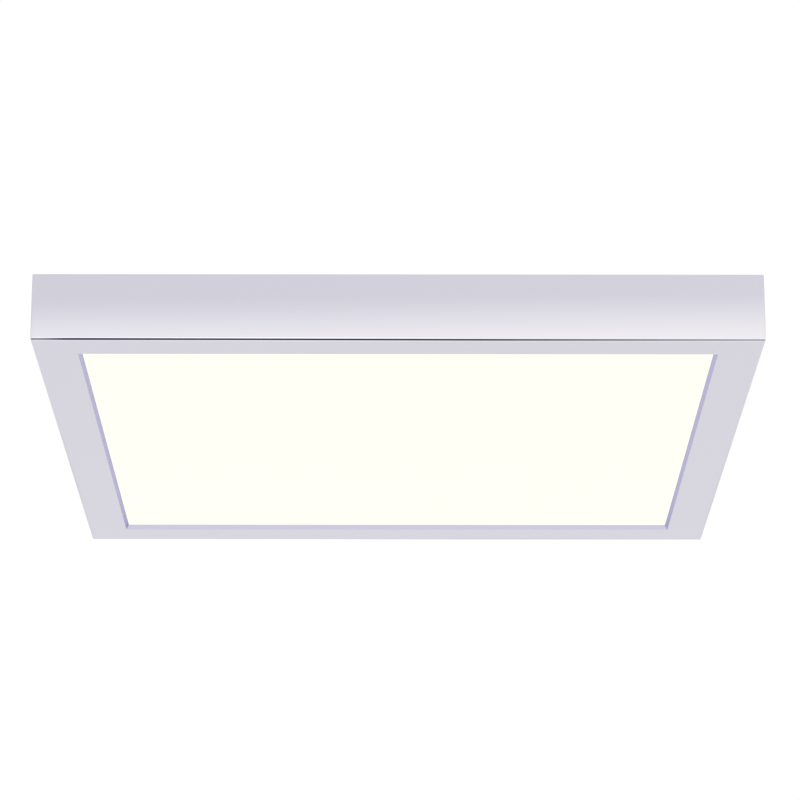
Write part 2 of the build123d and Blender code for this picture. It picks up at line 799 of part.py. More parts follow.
with BuildPart() as driver_cover:
    with BuildSketch(Plane.XY.offset(port_height)):
        with Locations(driver_place):
            RectangleRounded(driver_length, driver_width, driver_corner)
    extrude(amount=driver_height - driver_split)
    chamfer(highest_edges(driver_cover), driver_edge)
    lap_inset = driver_wall + lap_play
    with BuildSketch(Plane.XY.offset(port_height - lap_height)):
        with Locations(driver_place):
            RectangleRounded(
                driver_length - 2 * lap_inset, driver_width - 2 * lap_inset, driver_corner - driver_wall
            )
    extrude(amount=2 * lap_height)
    with BuildSketch(Plane.XY.offset(port_height - lap_height)):
        with Locations(driver_place):
            Rectangle(
                driver_length - 2 * (lap_inset + lap_wall), driver_width - 2 * (lap_inset + lap_wall)
            )
    extrude(amount=driver_height - driver_split - driver_wall + lap_height, mode=Mode.SUBTRACT)
    with BuildSketch(Plane.XY.offset(pan_top + driver_height - driver_wall)):
        for s in (-1, 1):
            with Locations((driver_place[0] + s * vent_place, driver_place[1])):
                with GridLocations(vent_pitch, 1, vent_count, 1):
                    SlotOverall(vent_length, vent_width, rotation=90)
    extrude(amount=driver_wall, mode=Mode.SUBTRACT)
    add(port_bores.part, mode=Mode.SUBTRACT)
keep("driver_cover", driver_cover.part)

with BuildPart() as driver_circuit:
    with BuildSketch(Plane.XY.offset(circuit_bottom)):
        with Locations(driver_place):
            Rectangle(2 * circuit_half, driver_width - 2 * (driver_wall + circuit_gap))
        with Locations(*standoffs_at):
            Circle(stake_radius + stake_play, mode=Mode.SUBTRACT)
    extrude(amount=circuit_thickness)
keep("driver_circuit", driver_circuit.part)

with BuildPart() as driver_inlets:
    for end, places in ((-1, input_wires), (1, output_cables)):
        middle = sum(places) / 2
        inlet_width = places[1] - places[0] + 2 * (cable_radius + inlet_wall)
        inlet_x = driver_place[0] + end * (inlet_face - inlet_length / 2)
        with BuildSketch(Plane.XY.offset(circuit_top)):
            with Locations((inlet_x, driver_place[1] + middle)):
                Rectangle(inlet_length, inlet_width)
        extrude(amount=port_height + inlet_above_port - circuit_top)
    chamfer(driver_inlets.edges().group_by(Axis.Z)[-1], driver_edge / 2)
keep("driver_inlets", driver_inlets.part)

with BuildPart() as transformer_core:
    core_x = driver_place[0] + core_place
    core_z = circuit_top + core_size[2] / 2
    with BuildSketch(Plane.XZ.offset(-driver_place[1])):
        with Locations((core_x, core_z)):
            Rectangle(core_size[0], core_size[2])
        with Locations(*[(core_x + s * (core_leg + core_window[0]) / 2, core_z) for s in (-1, 1)]):
            Rectangle(*core_window, mode=Mode.SUBTRACT)
    extrude(amount=core_size[1] / 2, both=True)
keep("transformer_core", transformer_core.part)

with BuildPart() as transformer_coil:
    coil_height = core_window[1] - 2 * coil_play
    with BuildSketch(Plane.XY.offset(core_z - coil_height / 2)):
        with Locations((core_x, driver_place[1])):
            RectangleRounded(core_leg + 2 * coil_build, core_size[1] + 2 * coil_build, coil_corner)
            Rectangle(core_leg + 2 * coil_play, core_size[1] + 2 * coil_play, mode=Mode.SUBTRACT)
    extrude(amount=coil_height)
keep("transformer_coil", transformer_coil.part)

cans_at = [(driver_place[0] + u, driver_place[1] + v) for u, v in can_places]
with BuildPart() as driver_capacitors:
    with BuildSketch(Plane.XY.offset(circuit_top)):
        with Locations(*cans_at):
            Circle(can_radius)
    extrude(amount=can_height)
    chamfer(driver_capacitors.edges().group_by(Axis.Z)[-1], can_groove)
    with BuildSketch(Plane.XY.offset(circuit_top + 2 * can_groove)):
        with Locations(*cans_at):
            Circle(can_radius)
            Circle(can_radius - can_groove, mode=Mode.SUBTRACT)
    extrude(amount=can_groove, mode=Mode.SUBTRACT)
keep("driver_capacitors", driver_capacitors.part)

with BuildPart() as driver_choke:
    with BuildSketch(Plane.XY.offset(circuit_top)):
        with Locations((driver_place[0] + choke_place[0], driver_place[1] + choke_place[1])):
            Circle(choke_outer)
            Circle(choke_inner, mode=Mode.SUBTRACT)
    extrude(amount=choke_height)
    chamfer(highest_edges(driver_choke), driver_edge)
keep("driver_choke", driver_choke.part)

with BuildPart() as driver_chips:
    with BuildSketch(Plane.XY.offset(circuit_top)):
        with Locations(*[(driver_place[0] + u, driver_place[1] + v) for u, v in chip_places]):
            Rectangle(chip_size[0], chip_size[1])
    extrude(amount=chip_size[2])
    with BuildSketch(Plane.XY.offset(circuit_top)):
        with Locations((driver_place[0] + sink_place[0], driver_place[1] + sink_place[1])):
            Rectangle(sink_size[0], sink_size[1])
    extrude(amount=sink_size[2])
keep("driver_chips", driver_chips.part)

driver_screw = make_screw(
    screw_core,
    driver_ear_thickness + pan_sheet + driver_screw_reach,
    screw_head_radius,
    screw_head_height,
)
with BuildPart() as driver_screws:
    place_screws(driver_screw, pan_top + driver_ear_thickness, 0, driver_screws_at)
keep("driver_screws", driver_screws.part)

# ------------------------------------------------------------------ terminal block

with BuildPart() as terminal_block:
    with BuildSketch(Plane.XY.offset(pan_top)):
        with Locations(block_place):
            RectangleRounded(block_width, block_depth, block_corner)
    extrude(amount=block_height)
    chamfer(highest_edges(terminal_block), block_corner / 2)
    with BuildSketch(Plane.XY.offset(chamber_low)):
        with Locations(*[(x, chamber_middle) for x in pole_places]):
            Rectangle(pole_pitch - partition, chamber_back - chamber_front)
    extrude(amount=block_chamber, mode=Mode.SUBTRACT)
    with BuildSketch(Plane.XY.offset(chamber_high)):
        with Locations(*[(x, buttons_at) for x in pole_places]):
            Rectangle(button_side + 2 * button_play, button_side + 2 * button_play)
    extrude(amount=block_height, mode=Mode.SUBTRACT)
    with BuildSketch(Plane.XZ.offset(block_depth / 2 - block_place[1])):
        with Locations(*[(x, entry_level) for x in pole_places]):
            Rectangle(entry_width, entry_height)
    extrude(amount=-block_front, mode=Mode.SUBTRACT)
    funnel_grow = 2 * funnel_depth * tan(radians(funnel_slope))
    with BuildSketch(Plane.XZ.offset(block_depth / 2 - block_place[1])):
        with Locations(*[(x, entry_level) for x in pole_places]):
            Rectangle(entry_width + funnel_grow, entry_height + funnel_grow)
    extrude(amount=-funnel_depth, taper=funnel_slope, mode=Mode.SUBTRACT)
    with BuildSketch(Plane.XZ.offset(-block_depth / 2 - block_place[1])):
        with Locations(*[(x, entry_level) for x in pole_places]):
            Circle(wire_radius + port_play)
    extrude(amount=block_back, mode=Mode.SUBTRACT)
    with BuildSketch(Plane.XY.offset(pan_top)):
        with Locations(*pegs_at):
            Rectangle(*peg_size)
    extrude(amount=-pan_sheet - peg_reach)
keep("terminal_block", terminal_block.part)

with BuildPart() as terminal_contacts:
    contact_high = button_low - button_travel - contact_clear
    leaf_front = chamber_front + contact_play
    for x in pole_places:
        with BuildSketch(Plane.YZ.offset(x)):
            with BuildLine():
                FilletPolyline(
                    (leaf_front, chamber_low),
                    (contact_back, chamber_low),
                    (contact_back, contact_high),
                    (leaf_front + contact_play, contact_high),
                    (chamber_middle - contact_sheet, entry_level - contact_sheet),
                    radius=contact_bend,
                )
                offset(amount=contact_sheet, side=Side.RIGHT, closed=True)
            make_face()
        extrude(amount=contact_width / 2, both=True)
keep("terminal_contacts", terminal_contacts.part)


def make_button(x):
    """A square release button with a driver slot on top and a shoulder that keeps it in its well."""
    top = pan_top + block_height + button_proud
    with BuildPart() as button:
        with BuildSketch(Plane.XY.offset(button_low)):
            with Locations((x, buttons_at)):
                Rectangle(button_side, button_side)
        extrude(amount=top - button_low)
        chamfer(highest_edges(button), button_play)
        with BuildSketch(Plane.XY.offset(button_low)):
            with Locations((x, buttons_at)):
                Rectangle(button_side + 2 * button_shoulder, button_side + 2 * button_shoulder)
        extrude(amount=button_shoulder_height)
        with BuildSketch(Plane.XY.offset(top)):
            with Locations((x, buttons_at)):
                Rectangle(button_slot[0], button_slot[1])
        extrude(amount=-button_slot[2], mode=Mode.SUBTRACT)
    return button.part


for pole, x in zip(("earth", "neutral", "line"), pole_places):
    keep(f"button_{pole}", make_button(x))

# ------------------------------------------------------------------ wiring


def route_radii(points):
    """A bend radius for each corner of a route, as large as the shorter run beside it allows."""
    radii = []
    for before, here, after in zip(points, points[1:], points[2:]):
        run_in = Vector(here) - Vector(before)
        run_out = Vector(after) - Vector(here)
        half_turn = radians(run_in.get_angle(run_out)) / 2
        radii.append(0.45 * min(run_in.length, run_out.length) / tan(half_turn))
    return radii


def make_wire(points, radius):
    """A round wire along a route of straight runs and arcs."""
    radii = route_radii(points)
    with BuildPart() as wire:
        with BuildLine() as route:
            FilletPolyline(*points, radius=radii)
        with BuildSketch(Plane(origin=points[0], z_dir=route.line % 0)):
            Circle(radius)
        sweep()
    print("bend radii", [round(r, 1) for r in radii])
    return wire.part


earth_x, neutral_x, line_x = pole_places
driver_in = driver_place[0] - driver_half
driver_out = driver_place[0] + driver_half
line_y, neutral_y = [driver_place[1] + v for v in input_wires]
cable_y = [driver_place[1] + v for v in output_cables]
hump = pan_top + cable_hump

line_route = [
    (line_x, contact_back, entry_level),
    (line_x, line_y, entry_level),
    (line_x + line_lead[0], line_y + line_lead[1], entry_level + line_lead[2]),
    (driver_in - line_tail, line_y, port_height),
    (driver_place[0] - inlet_face, line_y, port_height),
]
neutral_route = [
    (neutral_x, contact_back, entry_level),
    (neutral_x, neutral_y - neutral_lead[1], entry_level),
    (neutral_x + neutral_lead[0], neutral_y + neutral_lead[1], entry_level + neutral_lead[2]),
    (driver_in - neutral_tail, neutral_y, port_height),
    (driver_place[0] - inlet_face, neutral_y, port_height),
]
earth_route = [
    (earth_x, contact_back, entry_level),
    (earth_x, earth_place[1] - earth_lead[1], entry_level),
    (earth_x - earth_lead[0], earth_place[1], entry_level - earth_lead[2]),
    (barrel_start + barrel_length + earth_tail, earth_place[1], barrel_level),
    (barrel_start + barrel_end, earth_place[1], barrel_level),
]
right_route = [
    (driver_place[0] + inlet_face, cable_y[0], port_height),
    (driver_out + right_bends[0][0], cable_y[0] + right_bends[0][1], port_height),
    (driver_out + right_bends[1][0], cable_y[0] + right_bends[1][1], cable_level),
    (driver_out + right_bends[2][0], cable_y[0] + right_bends[2][1], cable_level),
    (grommet_line - right_side_bend[0], cable_y[0] + right_side_bend[1], cable_level),
    (grommet_line - right_last_bend[0], grommet_line - right_last_bend[1], cable_level),
    (grommet_line - hump_bend[0], grommet_line - hump_bend[2], hump),
    (grommet_line, grommet_line, hump),
    (grommet_line, grommet_line, cable_end),
]
left_route = [
    (driver_place[0] + inlet_face, cable_y[1], port_height),
    (driver_out + left_bends[0][0], cable_y[1] + left_bends[0][1], port_height),
    (driver_out + left_bends[1][0], cable_y[1] + left_bends[1][1], cable_level + left_drop),
    (driver_out + left_bends[2][0], cable_y[1] + left_bends[2][1], cable_level),
    (driver_out + left_bends[3][0], cable_y[1] + left_bends[3][1], cable_level),
    (driver_place[0], cable_y[1] + left_back_runs[0], cable_level),
    (driver_in, cable_y[1] + left_back_runs[1], cable_level),
    (driver_in - left_run, cable_y[1] + left_back_runs[2], cable_level),
    (left_side_bends[0][0] - grommet_line, cable_y[1] + left_side_bends[0][1], cable_level),
    (left_side_bends[1][0] - grommet_line, cable_y[1] + left_side_bends[1][1], cable_level),
    (hump_bend[1] - grommet_line, grommet_line - hump_bend[2], hump),
    (-grommet_line, grommet_line, hump),
    (-grommet_line, grommet_line, cable_end),
]
keep("wire_line", make_wire(line_route, wire_radius))
keep("wire_neutral", make_wire(neutral_route, wire_radius))
keep("wire_earth", make_wire(earth_route, wire_radius))
keep("led_cable_right", make_wire(right_route, cable_radius))
keep("led_cable_left", make_wire(left_route, cable_radius))

# each clip holds the middle of one straight run of a cable
clipped_runs = (right_route[3:5], left_route[4:6], left_route[6:8])
with BuildPart() as wire_clips:
    for start, end in clipped_runs:
        along = (Vector(end) - Vector(start)).normalized()
        middle = (Vector(start) + Vector(end)) / 2
        across = Vector(0, 0, 1).cross(along)
        with BuildSketch(Plane(origin=middle - along * clip_width / 2, x_dir=across, z_dir=along)):
            with Locations((0, clip_base_thickness / 2 - cable_rise)):
                Rectangle(clip_base, clip_base_thickness)
            with Locations((0, -cable_rise / 2)):
                Rectangle(2 * (cable_radius + clip_play + clip_wall), cable_rise)
            Circle(cable_radius + clip_play + clip_wall)
            Circle(cable_radius + clip_play, mode=Mode.SUBTRACT)
            with Locations((0, cable_radius + clip_wall)):
                Rectangle(clip_slit, 2 * (clip_wall + clip_play), mode=Mode.SUBTRACT)
        extrude(amount=clip_width)
keep("wire_clips", wire_clips.part)

with BuildPart() as grommets:
    bore = cable_radius + grommet_play
    neck = grommet_radius - grommet_play
    lip = grommet_radius + grommet_lip
    for x, y in grommets_at:
        with BuildSketch(Plane(origin=(x, y, 0), x_dir=(1, 0, 0), z_dir=(0, -1, 0))):
            Polygon(
                (bore, pan_bottom - grommet_flange),
                (lip, pan_bottom - grommet_flange),
                (lip, pan_bottom),
                (neck, pan_bottom),
                (neck, pan_top),
                (lip, pan_top),
                (lip, pan_top + grommet_collar / 2),
                (neck, pan_top + grommet_collar),
                (bore, pan_top + grommet_collar),
                align=None,
            )
        revolve(axis=Axis((x, y, 0), (0, 0, 1)))
keep("grommets", grommets.part)

with BuildPart() as led_connectors:
    with BuildSketch(Plane.XY.offset(cable_end - connector_size[2])):
        with Locations(*grommets_at):
            Rectangle(connector_size[0], connector_size[1])
    extrude(amount=connector_size[2])
    chamfer(led_connectors.edges().group_by(Axis.Z)[-1], connector_edge)
keep("led_connectors", led_connectors.part)

# ------------------------------------------------------------------ protective earth

with BuildPart() as earth_stud:
    with BuildSketch(Plane.XY.offset(pan_top)):
        with Locations(earth_place):
            Circle(earth_stud_radius)
    extrude(amount=earth_stud_height)
    chamfer(highest_edges(earth_stud), stud_tip)
keep("earth_stud", earth_stud.part)

with BuildPart() as earth_ring:
    with BuildSketch(Plane.XY.offset(pan_top)):
        with Locations(earth_place):
            Circle(ring_radius)
        with Locations(((earth_place[0] + barrel_start + barrel_end) / 2, earth_place[1])):
            Rectangle(barrel_start + barrel_end - earth_place[0], ring_neck_width)
        with Locations(earth_place):
            Circle(earth_stud_radius + earth_play, mode=Mode.SUBTRACT)
    extrude(amount=ring_sheet)
    with BuildSketch(Plane.YZ.offset(barrel_start)):
        with Locations((earth_place[1], barrel_level)):
            Circle(wire_radius + barrel_play + barrel_wall)
    extrude(amount=barrel_length)
    with BuildSketch(Plane.YZ.offset(barrel_start + barrel_end)):
        with Locations((earth_place[1], barrel_level)):
            Circle(wire_radius + barrel_play)
    extrude(amount=barrel_length - barrel_end, mode=Mode.SUBTRACT)
keep("earth_ring", earth_ring.part)

with BuildPart() as earth_washer:
    with BuildSketch(Plane.XY.offset(pan_top + ring_sheet)):
        with Locations(earth_place):
            Circle(washer_radius)
            Circle(earth_stud_radius + earth_play, mode=Mode.SUBTRACT)
    extrude(amount=washer_sheet)
keep("earth_washer", earth_washer.part)

with BuildPart() as earth_nut:
    with BuildSketch(Plane.XY.offset(pan_top + ring_sheet + washer_sheet)):
        with Locations(earth_place):
            RegularPolygon(earth_nut_flats / 2, 6, major_radius=False)
            Circle(earth_stud_radius + nut_play, mode=Mode.SUBTRACT)
    extrude(amount=earth_nut_height)
keep("earth_nut", earth_nut.part)

os.makedirs("parts", exist_ok=True)
for name, part in solids.items():
    export_step(part, f"parts/{name}.step")
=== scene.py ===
import math

import bmesh
import bpy
from mathutils import Matrix, Vector


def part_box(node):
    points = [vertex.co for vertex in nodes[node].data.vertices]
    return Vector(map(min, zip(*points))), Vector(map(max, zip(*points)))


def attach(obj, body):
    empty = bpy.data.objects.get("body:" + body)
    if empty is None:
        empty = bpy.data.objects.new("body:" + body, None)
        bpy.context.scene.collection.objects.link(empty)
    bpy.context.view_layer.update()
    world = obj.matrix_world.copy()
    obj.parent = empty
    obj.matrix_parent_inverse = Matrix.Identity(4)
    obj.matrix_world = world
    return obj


# The looks of a square, edge-lit LED ceiling light, seen from below with the light on.
# Every CAD node keeps its own mesh and gets a procedural material. One piece is added to them: the thread
# that shows on the earth stud. All lengths are in metres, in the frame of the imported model: the ceiling is
# z = 0, the light hangs below it, -Y is the wall nearest the camera, and +X is to its right.

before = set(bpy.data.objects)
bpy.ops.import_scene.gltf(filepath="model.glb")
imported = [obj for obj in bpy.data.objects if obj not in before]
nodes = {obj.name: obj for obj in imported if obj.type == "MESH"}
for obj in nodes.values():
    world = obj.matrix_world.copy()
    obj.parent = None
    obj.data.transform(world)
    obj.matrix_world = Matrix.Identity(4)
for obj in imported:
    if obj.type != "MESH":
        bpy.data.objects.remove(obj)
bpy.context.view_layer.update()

# ------------------------------------------------------------------ sizes
FRAME_LOW, FRAME_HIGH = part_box("bezel_frame")
HALF_SIDE = FRAME_HIGH.x
UNDERSIDE = FRAME_LOW.z
SHEET = 0.001                         # the folded frame's thickness
HALF_OPENING = HALF_SIDE - 0.023      # its border is 23 mm wide
RETURN_TOP = UNDERSIDE + 0.0026       # of the slanted edge round the opening


# ------------------------------------------------------------------ node helpers
def shade(colour, factor, top=1.0):
    """A colour made darker or lighter, with no channel above top."""
    return tuple(min(channel * factor, top) for channel in colour)


class Tree:
    """A node tree, with short ways to add and link its nodes. A value is a socket or a plain number."""

    def __init__(self, tree):
        self.tree = tree
        self.tree.nodes.clear()

    def add(self, kind, **settings):
        made = self.tree.nodes.new(kind)
        for key, value in settings.items():
            setattr(made, key, value)
        return made

    def link(self, source, target):
        if hasattr(source, "links"):
            self.tree.links.new(source, target)
        else:
            target.default_value = source

    def feed(self, made, *values):
        """Gives a node's first inputs their values, in order."""
        for value, target in zip(values, made.inputs):
            self.link(value, target)
        return made

    def math(self, operation, *values):
        return self.feed(self.add("ShaderNodeMath", operation=operation), *values).outputs[0]

    def plus(self, a, b):
        return self.math("ADD", a, b)

    def minus(self, a, b):
        return self.math("SUBTRACT", a, b)

    def times(self, first, *others):
        for other in others:
            first = self.math("MULTIPLY", first, other)
        return first

    def size(self, value):
        return self.math("ABSOLUTE", value)

    def above(self, value, limit):
        """1 where the value is above the limit, and 0 elsewhere."""
        return self.math("GREATER_THAN", value, limit)

    def below(self, value, limit):
        return self.math("LESS_THAN", value, limit)

    def split(self, vector):
        return self.feed(self.add("ShaderNodeSeparateXYZ"), vector).outputs

    def join(self, x, y, z):
        return self.feed(self.add("ShaderNodeCombineXYZ"), x, y, z).outputs[0]


class Paint(Tree):
    """One procedural material on a Principled shader."""

    def __init__(self, name):
        self.mat = bpy.data.materials.new(name)
        self.mat.use_nodes = True
        super().__init__(self.mat.node_tree)
        self.shader = self.add("ShaderNodeBsdfPrincipled")
        self.feed(self.add("ShaderNodeOutputMaterial"), self.shader.outputs[0])
        self.coords = self.add("ShaderNodeTexCoord").outputs["Object"]
        self.normal = self.add("ShaderNodeNewGeometry").outputs["Normal"]

    def set(self, **values):
        """Sets the shader's inputs by name, with _ for a space."""
        for key, value in values.items():
            self.link(value, self.shader.inputs[key.replace("_", " ")])

    def vector(self, operation, *values):
        return self.feed(self.add("ShaderNodeVectorMath", operation=operation), *values).outputs[0]

    def ramp(self, value, low, high, to_low=0.0, to_high=1.0, smooth=False):
        """Maps low..high onto to_low..to_high, and stays level past either end."""
        steps = "SMOOTHSTEP" if smooth else "LINEAR"
        made = self.add("ShaderNodeMapRange", interpolation_type=steps)
        return self.feed(made, value, low, high, to_low, to_high).outputs[0]

    def spread(self, noise, low, high):
        """A value from low to high over the middle of a noise's range."""
        return self.ramp(noise, 0.3, 0.7, low, high)

    def mix(self, factor, a, b):
        made = self.add("ShaderNodeMix", data_type="RGBA")
        self.link(factor, made.inputs[0])
        for colour, target in ((a, made.inputs[6]), (b, made.inputs[7])):
            self.link(colour if hasattr(colour, "links") else (*colour, 1.0), target)
        return made.outputs[2]

    def scaled(self, scale):
        return self.vector("MULTIPLY", self.coords, scale)

    def noise(self, scale, detail, roughness=0.55, stretch=(1, 1, 1)):
        made = self.add("ShaderNodeTexNoise")
        self.link(self.scaled(stretch), made.inputs["Vector"])
        self.link(scale, made.inputs["Scale"])
        self.link(detail, made.inputs["Detail"])
        self.link(roughness, made.inputs["Roughness"])
        return made.outputs[0]

    def cells(self, scale, output, stretch=(1, 1, 1)):
        made = self.add("ShaderNodeTexVoronoi")
        self.link(self.scaled(stretch), made.inputs["Vector"])
        self.link(scale, made.inputs["Scale"])
        return made.outputs[output]

    def bump(self, height, depth, normal=None, strength=1.0):
        made = self.add("ShaderNodeBump")
        self.link(strength, made.inputs["Strength"])
        self.link(depth, made.inputs["Distance"])
        self.link(height, made.inputs["Height"])
        if normal is not None:
            self.link(normal, made.inputs["Normal"])
        return made.outputs[0]

    def soft_edge(self, radius):
        made = self.add("ShaderNodeBevel", samples=4)
        self.link(radius, made.inputs["Radius"])
        return made.outputs[0]

    def reach(self):
        """How far a point lies out from the light's middle, measured square."""
        x, y, _ = self.split(self.coords)
        return self.math("MAXIMUM", self.size(x), self.size(y))


def dress(paint, *names):
    """Gives CAD nodes, by name, or own pieces a material."""
    for name in names:
        piece = nodes[name] if isinstance(name, str) else name
        piece.data.materials.clear()
        piece.data.materials.append(paint.mat)


# ------------------------------------------------------------------ general finishes
def plastic(name, colour, rough, grain=2600):
    """Moulded plastic: a spark-eroded grain, soft edges and a slight unevenness of tone."""
    p = Paint(name)
    broad = p.noise(38, 2.0)
    fine = p.noise(grain, 2.0)
    p.set(
        Base_Color=p.mix(broad, shade(colour, 0.95), shade(colour, 1.05, 0.96)),
        Roughness=p.spread(fine, rough - 0.06, rough + 0.08),
        Normal=p.bump(fine, 0.00002, p.soft_edge(0.0002)),
    )
    return p


def rubber(name, colour, rough):
    """Rubber or soft PVC: a faint bloom over a smooth skin."""
    p = Paint(name)
    bloom = p.noise(220, 4.0, 0.65)
    pale = tuple(min(channel * 1.1 + 0.008, 0.95) for channel in colour)
    p.set(
        Base_Color=p.mix(p.ramp(bloom, 0.45, 0.8), colour, pale),
        Roughness=p.spread(bloom, rough - 0.1, rough + 0.12),
        Normal=p.bump(p.noise(900, 2.0), 0.00003),
        Sheen_Weight=0.08,
    )
    return p


def plated(name, colour, rough):
    """Plated steel, copper or brass hardware: fine grain, with a dull, warmer tone in patches."""
    p = Paint(name)
    patches = p.ramp(p.noise(160, 4.0, 0.6), 0.52, 0.85, 0.0, 0.35)
    dull = tuple(channel * share for channel, share in zip(colour, (0.8, 0.78, 0.72)))
    fine = p.noise(1500, 3.0)
    p.set(
        Base_Color=p.mix(patches, colour, dull),
        Metallic=1.0,
        Roughness=p.spread(fine, rough - 0.07, rough + 0.1),
        Normal=p.bump(fine, 0.00001, p.soft_edge(0.00015)),
    )
    return p


def drawn(name, colour, rough, across):
    """Metal with lines along the way it was drawn, rolled or ground, given their number across it."""
    p = Paint(name)
    lines = p.noise(1, 4.0, 0.6, across)
    cloud = p.noise(45, 3.0)
    p.set(
        Base_Color=p.mix(p.times(lines, cloud), shade(colour, 0.82), shade(colour, 1.12, 0.97)),
        Metallic=1.0,
        Roughness=p.spread(lines, rough - 0.08, rough + 0.1),
        Normal=p.bump(lines, 0.000015, p.soft_edge(0.0002)),
    )
    return p


def zinc(name, colour, rough=0.34, spangle=95):
    """Galvanised sheet: interlocking crystals of slightly different tone and gloss."""
    p = Paint(name)
    crystals = p.split(p.cells(spangle, "Color", stretch=(1, 1, 0.35)))[0]
    finer = p.split(p.cells(spangle * 2.7, "Color", stretch=(1, 0.8, 0.35)))[1]
    tone = p.plus(p.times(crystals, 0.7), p.times(finer, 0.3))
    cloud = p.ramp(p.noise(14, 4.0), 0.35, 0.75, 0.0, 0.25)
    fine = p.noise(2100, 2.0)
    metal = p.mix(tone, shade(colour, 0.86), shade(colour, 1.1, 0.95))
    p.set(
        Base_Color=p.mix(cloud, metal, shade(colour, 0.8)),
        Metallic=0.85,
        Roughness=p.ramp(tone, 0.0, 1.0, rough - 0.08, rough + 0.14),
        Normal=p.bump(p.plus(p.times(tone, 0.3), fine), 0.00001, p.soft_edge(0.0003)),
    )
    return p


# ------------------------------------------------------------------ the frame's metal
POLISH = ((0.751, 0.725, 0.796), (0.763, 0.737, 0.808))       # the least and most of a broad cloud
MILL_GREY = ((0.50, 0.50, 0.52), (0.62, 0.62, 0.64))
# Painted light along the fold: a painted highlight, and a painted dark reflection that is bluer at the left
# end.
PAINTED_FOLD_HIGHLIGHT = (0.99, 0.98, 1.0)
PAINTED_FOLD_DARK_REFLECTION = ((0.008, 0.010, 0.070), (0.004, 0.003, 0.022))    # at the left end, and from there on
# A painted highlight just inside the front border's outer edge.
PAINTED_RIM_HIGHLIGHT = (0.89, 0.875, 0.94)
# Painted reflections of the lit diffuser on the return: darker and bluer where it doesn't face -Y, paler on
# the back return, which faces -Y.
RETURN_SIDES_PAINTED_REFLECTION = (0.476, 0.462, 0.695)
RETURN_BACK_PAINTED_REFLECTION = (0.705, 0.690, 0.842)
FOLD_START = UNDERSIDE + 0.0013                               # on the wall, just above the fold's arc
CROWN_START = -0.011                                          # the wall swells slightly from here down
CROWN_TILT = -0.095


def painted_fold_reflections(p, polish_and_painted_light, x, y, z, down):
    """Three lines painted along the fold, over the metal's tone: a painted highlight, a painted dark
    reflection below it, and a faint painted highlight along the front border's outer edge.

    The painted dark line sinks and thins out from left to right, and the painted highlight fills what it
    leaves.
    down says how far a face has turned: 0 on the upright wall, and 1 on the level border.
    """
    reach = p.reach()
    on_front = p.above(p.size(y), p.size(x))                  # or on the back, and not on a side
    along = p.plus(p.times(x, on_front), p.times(y, p.minus(1.0, on_front)))
    dark_top = p.ramp(along, -0.156, 0.030, 0.23, 0.54)       # as a value of down, from left to right
    dark_bottom = p.ramp(along, -0.104, 0.080, 0.955, 1.03)
    past_top = p.minus(down, dark_top)
    past_bottom = p.minus(down, dark_bottom)
    at_fold = p.times(p.above(reach, HALF_SIDE - 0.0015), p.below(z, FOLD_START))

    on_wall = p.times(p.ramp(z, FOLD_START, FOLD_START - 0.0002), p.ramp(along, -0.04, 0.04, 1.0, 0.0))
    begun = p.math("MAXIMUM", on_wall, p.ramp(down, 0.02, 0.10))
    # the painted highlight, and below it the painted dark reflection
    bright = p.times(begun, p.ramp(past_top, -0.06, 0.0, 1.0, 0.0))
    dark = p.times(
        p.ramp(past_top, -0.03, 0.03, smooth=True),
        p.ramp(past_bottom, -0.03, 0.03, 1.0, 0.0, smooth=True),
        p.ramp(along, -0.188, -0.170, 0.6, 1.0, smooth=True),     # paler at the left corner
        p.ramp(along, 0.040, 0.190, 1.0, 0.45),                   # and towards the right one
        p.ramp(on_front, 0.0, 1.0, 0.08, 1.0),                    # and hardly there on the sides
    )
    # painted highlight along the front border, fainter towards the left
    rim_highlight = p.times(
        p.ramp(reach, HALF_SIDE - 0.0033, HALF_SIDE - 0.0025),
        p.above(down, 0.93),
        p.below(y, 0.0),
        on_front,
        p.ramp(along, -0.15, 0.02, 0.40, 1.0),
    )
    polish_and_painted_light = p.mix(rim_highlight, polish_and_painted_light, PAINTED_RIM_HIGHLIGHT)
    polish_and_painted_light = p.mix(p.times(bright, at_fold), polish_and_painted_light, PAINTED_FOLD_HIGHLIGHT)
    # the painted dark reflection of the surroundings in the fold
    painted_dark_reflection = p.mix(p.ramp(along, -0.150, -0.080), *PAINTED_FOLD_DARK_REFLECTION)
    return p.mix(p.times(dark, at_fold), polish_and_painted_light, painted_dark_reflection)


